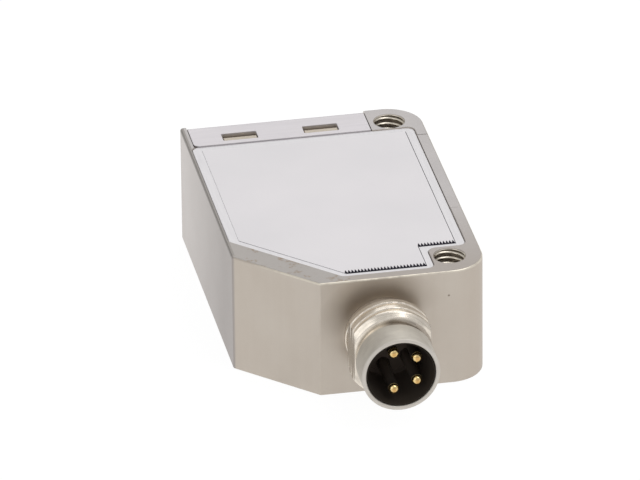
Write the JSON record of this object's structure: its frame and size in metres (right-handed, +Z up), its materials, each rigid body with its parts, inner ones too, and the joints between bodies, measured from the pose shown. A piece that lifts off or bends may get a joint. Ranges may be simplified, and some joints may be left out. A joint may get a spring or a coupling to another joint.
{
  "type": "reflective mark sensor",
  "caption": "Small stainless steel optical sensor with a welded cover, a cut corner, tapped fixing holes and a round threaded plug connector.",
  "frame": {"origin": "middle of the part's footprint on its underside, the connector included, with the sensor lying on its flat side", "axes": "+Z up out of the welded cover, +Y from the connector towards the indicator end, +X out of the lens face"},
  "size_m": [0.0206, 0.038, 0.0105],
  "materials": {
    "case_steel": "satin blasted stainless steel",
    "cover_steel": "fine satin stainless sheet",
    "silver_film": "satin silver film",
    "plug_metal": "turned stainless steel",
    "gold": "gold plated",
    "black_plastic": "moulded black plastic",
    "white_plastic": "moulded white plastic",
    "clear_plastic": "clear moulded plastic",
    "dark_acrylic": "polished tinted acrylic",
    "black_rubber": "matt rubber",
    "grey_rubber": "matt rubber",
    "lens_glass": "polished optical glass",
    "board": "glass fibre board with solder mask",
    "ferrite": "sintered ferrite",
    "amber_film": "polyimide film",
    "amber_lamp": "diffusing lamp body",
    "green_lamp": "diffusing lamp body"
  },
  "bodies": {
    "case": {"housing": "case_steel", "cover_plate": "cover_steel", "cover_film": "silver_film", "end_cap": "cover_steel", "indicator_window": "clear_plastic", "end_gasket": "black_rubber", "button_switch": "black_plastic", "display_board": "board", "operation_led": "amber_lamp", "stability_led": "green_lamp", "front_frame": "case_steel", "front_window": "dark_acrylic", "window_gasket": "black_rubber", "optics_holder": "black_plastic", "beam_splitter": "lens_glass", "objective_lens": "lens_glass", "lens_retainer": "black_plastic", "emitter_board": "board", "emitter_led": "white_plastic", "receiver_chip": "black_plastic", "receiver_board": "board", "main_board": "board", "control_ic": "black_plastic", "driver_ic": "black_plastic", "filter_inductor": "ferrite", "connector_flex": "amber_film", "optics_flex": "amber_film", "display_flex": "amber_film", "connector_board": "board", "connector_shell": "plug_metal", "connector_seal": "black_rubber", "connector_insert": "black_plastic", "contact_pin_1": "gold", "contact_pin_2": "gold", "contact_pin_3": "gold", "contact_pin_4": "gold"},
    "button": {"teach_button": "grey_rubber", "switch_plunger": "white_plastic"}
  },
  "joints": [
    {"name": "teach_button_press", "type": "slide", "parent": "case", "child": "button", "axis": [0, -1, 0], "range_m": [0, 0.0004], "stiffness_N_per_m": 2000}
  ]
}
